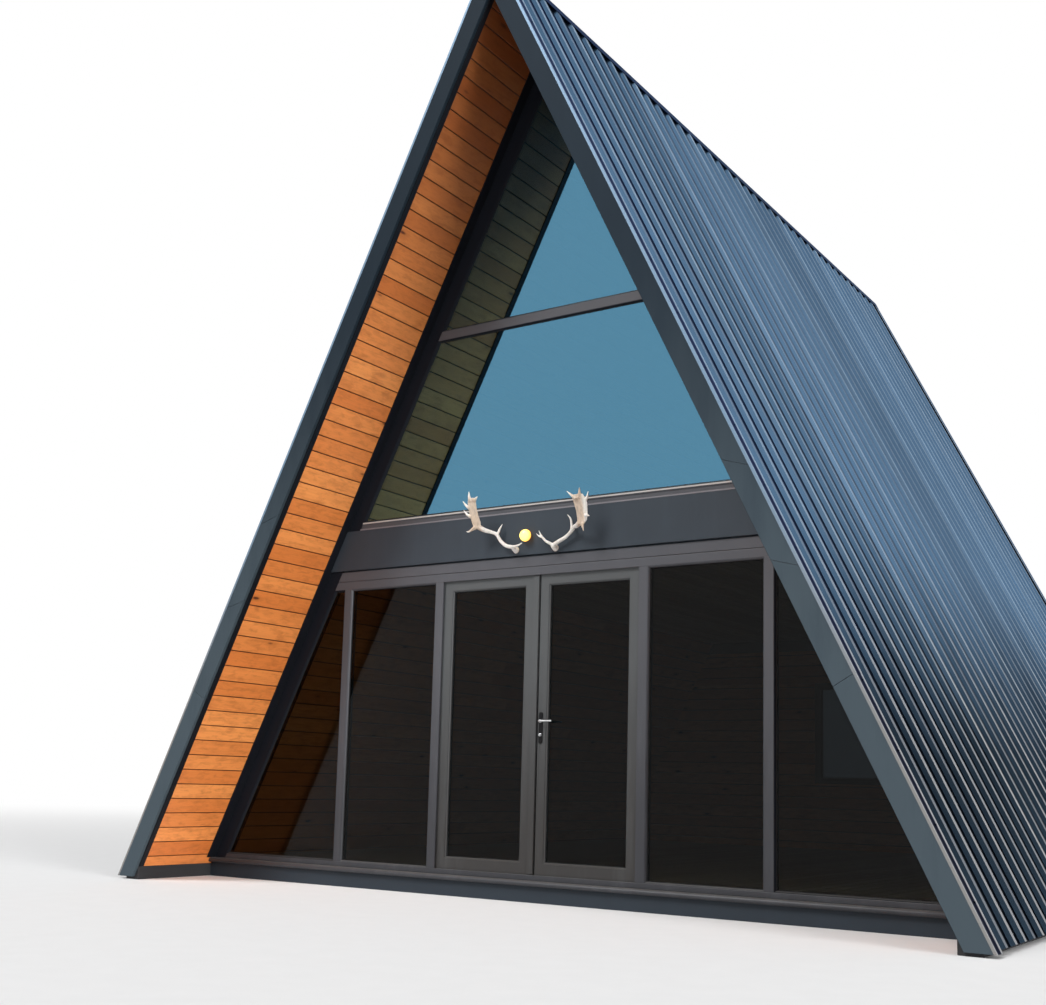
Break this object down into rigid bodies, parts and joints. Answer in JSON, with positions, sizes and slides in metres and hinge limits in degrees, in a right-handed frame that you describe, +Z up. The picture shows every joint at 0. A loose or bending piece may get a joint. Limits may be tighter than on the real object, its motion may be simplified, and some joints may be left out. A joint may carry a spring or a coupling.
{
  "type": "a-frame cabin",
  "caption": "Steep-roofed cabin with a ribbed metal roof down to the ground, a glazed gable front under a boarded overhang and double doors that open inwards.",
  "frame": {"origin": "middle of the footprint at ground level, between the outermost roof edges", "axes": "+X to the right seen from the front, +Y from the glazed front to the rear, +Z up"},
  "size_m": [6.6682, 8.084, 6.6889],
  "materials": {
    "dark_timber": "matte",
    "raw_timber": "matte",
    "floor_boards": "satin",
    "roof_core": "matte",
    "stained_boards": "satin",
    "roof_metal": "semi gloss",
    "trim_metal": "semi gloss",
    "fascia_paint": "satin",
    "black_trim": "matte",
    "plinth_paint": "matte",
    "frame_paint": "satin",
    "rafter_paint": "satin",
    "band_paint": "matte",
    "door_paint": "satin",
    "tinted_glass": "tinted and reflective",
    "hinge_steel": "brushed",
    "plate_metal": "satin",
    "lever_steel": "brushed",
    "bone": "matte",
    "lamp_glass": "glowing"
  },
  "bodies": {
    "cabin": {"sole_beams": "dark_timber", "floor_joists": "raw_timber", "floor_deck": "floor_boards", "loft_floor": "floor_boards", "roof_panel_left": "roof_core", "roof_panel_right": "roof_core", "roof_lining_left": "stained_boards", "roof_lining_right": "stained_boards", "roof_sheet_left": "roof_metal", "roof_sheet_right": "roof_metal", "ridge_cap": "roof_metal", "verge_left": "trim_metal", "verge_right": "trim_metal", "front_fascia_left": "fascia_paint", "front_fascia_right": "fascia_paint", "rear_fascia_left": "fascia_paint", "rear_fascia_right": "fascia_paint", "soffit_trim_left": "black_trim", "soffit_trim_right": "black_trim", "front_plinth": "plinth_paint", "front_sill": "frame_paint", "gable_rafter_left": "rafter_paint", "gable_rafter_right": "rafter_paint", "frame_bottom": "frame_paint", "frame_head": "frame_paint", "mullions": "frame_paint", "band": "band_paint", "gable_sill": "frame_paint", "gable_transom": "frame_paint", "ground_glass": "tinted_glass", "gable_glass": "tinted_glass", "rear_plinth": "plinth_paint", "rear_wall_lower": "stained_boards", "rear_band": "band_paint", "rear_wall_upper": "stained_boards", "rear_windows": "frame_paint", "rear_glass": "tinted_glass", "jamb_hinges": "hinge_steel", "antlers": "bone", "wall_light": "lamp_glass"},
    "door_left": {"door_left_leaf": "door_paint", "door_left_glass": "tinted_glass"},
    "door_right": {"door_right_leaf": "door_paint", "door_right_glass": "tinted_glass", "handle_plates": "plate_metal"},
    "lever": {"door_lever": "lever_steel"}
  },
  "joints": [
    {"name": "door_left_swing", "type": "hinge", "parent": "cabin", "child": "door_left", "pos_m": [-0.842, -3.172, 1.24], "axis": [0, 0, 1], "range_deg": [0, 95]},
    {"name": "door_right_swing", "type": "hinge", "parent": "cabin", "child": "door_right", "pos_m": [0.842, -3.172, 1.24], "axis": [0, 0, -1], "range_deg": [0, 95]},
    {"name": "lever_turn", "type": "hinge", "parent": "door_right", "child": "lever", "pos_m": [0.056, -3.212, 1.247], "axis": [0, 1, 0], "range_deg": [0, 45], "stiffness_Nm_per_rad": 1.5, "springref_deg": -28.65}
  ]
}
